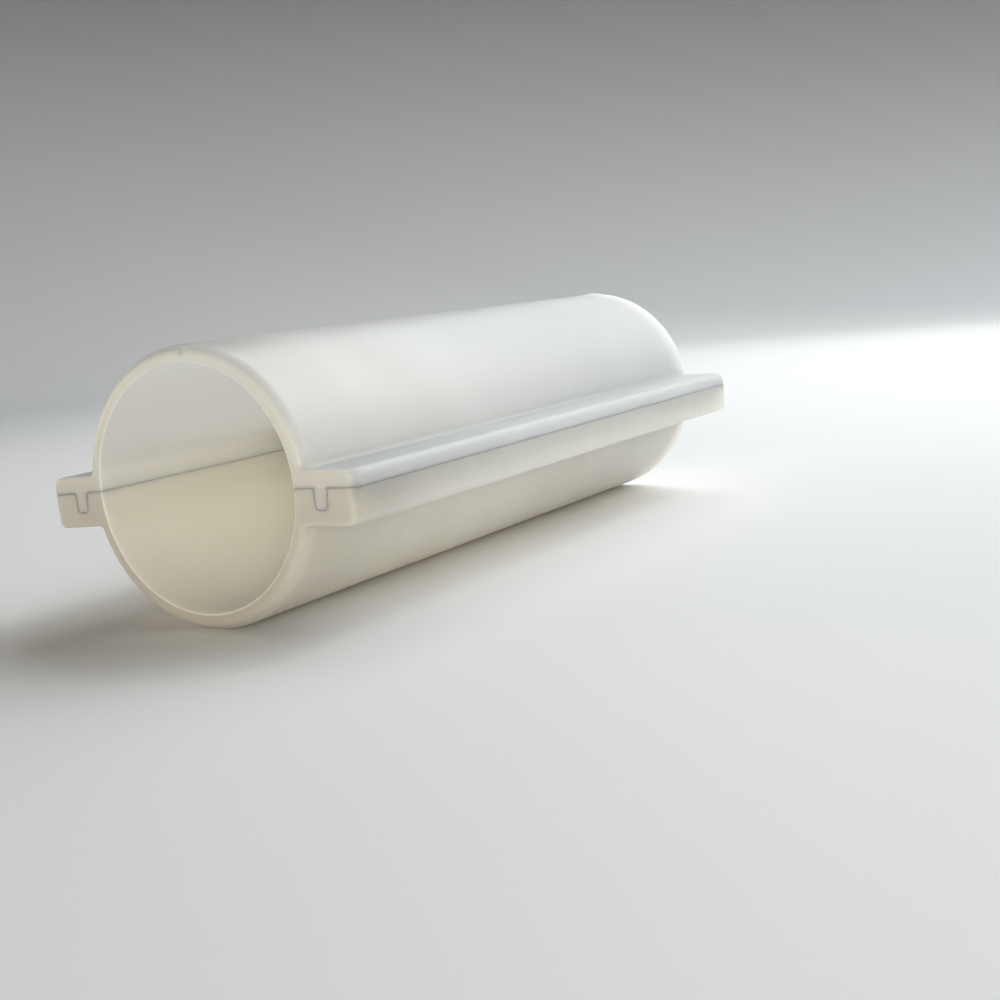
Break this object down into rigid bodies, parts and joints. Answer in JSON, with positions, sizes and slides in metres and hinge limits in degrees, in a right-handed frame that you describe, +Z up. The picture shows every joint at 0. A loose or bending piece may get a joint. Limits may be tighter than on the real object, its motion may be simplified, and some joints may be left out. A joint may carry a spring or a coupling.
{
  "type": "candle mold",
  "caption": "Round column mold for candles or soap: flanged silicone half shells that close with a tongue and groove, open at one end and closed at the other.",
  "frame": {"origin": "on the surface that the mold lies on, below the middle of its length", "axes": "+Y along the bore from the open mouth to the closed base, +X across the flanges, +Z up and square to the parting plane"},
  "size_m": [0.1114, 0.252, 0.0798],
  "materials": {
    "upper_silicone": "milky translucent silicone, soft satin",
    "lower_silicone": "milky translucent silicone, soft satin, slightly warmer"
  },
  "bodies": {
    "lower_half": {"lower_half": "lower_silicone"},
    "upper_half": {"upper_half": "upper_silicone"}
  },
  "joints": [
    {"name": "lift_off", "type": "slide", "parent": "lower_half", "child": "upper_half", "axis": [0, 0, 1], "range_m": [0, 0.08]}
  ]
}
